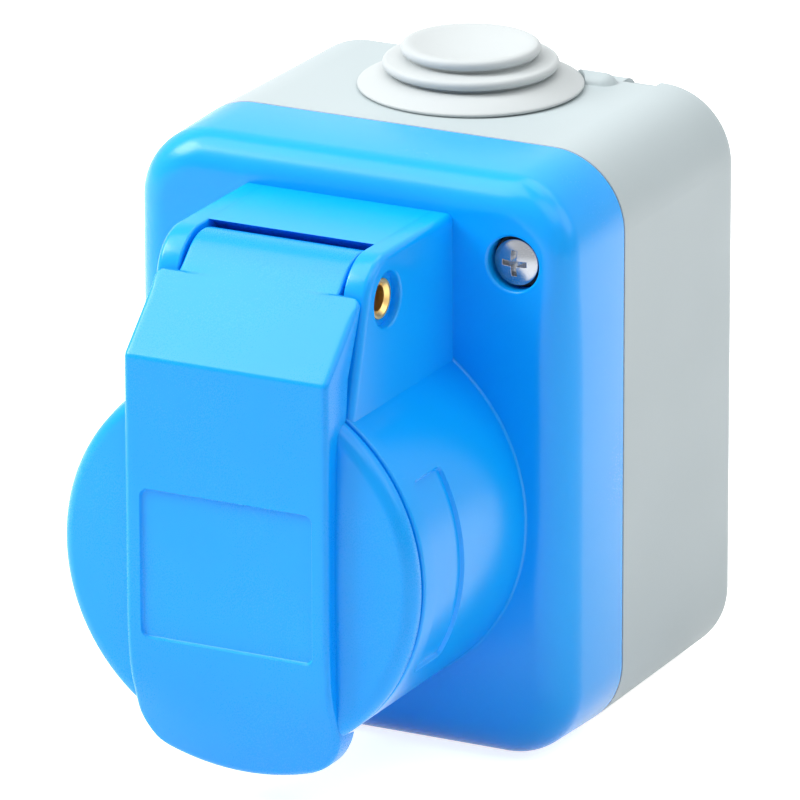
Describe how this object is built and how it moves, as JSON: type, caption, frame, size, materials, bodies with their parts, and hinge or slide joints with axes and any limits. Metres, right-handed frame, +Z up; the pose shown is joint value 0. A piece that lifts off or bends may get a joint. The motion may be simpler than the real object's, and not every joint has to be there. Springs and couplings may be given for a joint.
{
  "type": "industrial wall socket",
  "caption": "Surface-mounted industrial wall socket with a grey wall box, a cable grommet on top, a blue front cover with a round socket collar, and a sprung hinged lid with a broad strap.",
  "frame": {"origin": "middle of the box's flat back, on the wall plane", "axes": "+Z up the wall, -Y out of the wall towards the user, +X to the right seen from the front"},
  "size_m": [0.075, 0.099, 0.0999],
  "materials": {
    "grey_plastic": "satin light grey moulded plastic",
    "grommet_elastomer": "off-white soft elastomer",
    "seal_rubber": "black elastomer",
    "blue_plastic": "glossy bright blue moulded plastic",
    "lid_plastic": "glossy bright blue moulded plastic",
    "dark_plastic": "dark grey glass-filled plastic",
    "brass": "machined brass",
    "steel": "zinc-plated steel"
  },
  "bodies": {
    "housing": {"back_box": "grey_plastic", "cable_grommet": "grommet_elastomer", "cover_gasket": "seal_rubber", "thread_inserts": "brass", "front_cover": "blue_plastic", "cover_skirt": "blue_plastic", "cover_posts": "blue_plastic", "socket_collar": "blue_plastic", "hinge_block": "blue_plastic", "cover_screws": "steel", "screw_seals": "seal_rubber", "hinge_pin": "brass", "lid_spring": "steel", "contact_carrier": "dark_plastic", "carrier_shell": "dark_plastic", "carrier_face": "dark_plastic", "carrier_screws": "steel", "terminal_carrier": "dark_plastic", "terminal_screws": "steel", "live_contact": "brass", "neutral_contact": "brass", "earth_contact": "brass", "live_spring": "steel", "neutral_spring": "steel", "earth_spring": "steel"},
    "lid_body": {"lid": "lid_plastic", "lid_gasket": "seal_rubber"}
  },
  "joints": [
    {"name": "lid_hinge", "type": "hinge", "parent": "housing", "child": "lid_body", "pos_m": [0, -0.0805, 0.03275], "axis": [-1, 0, 0], "range_deg": [0, 90], "stiffness_Nm_per_rad": 0.03, "springref_deg": -57.3, "deforming": ["lid_spring"]}
  ]
}
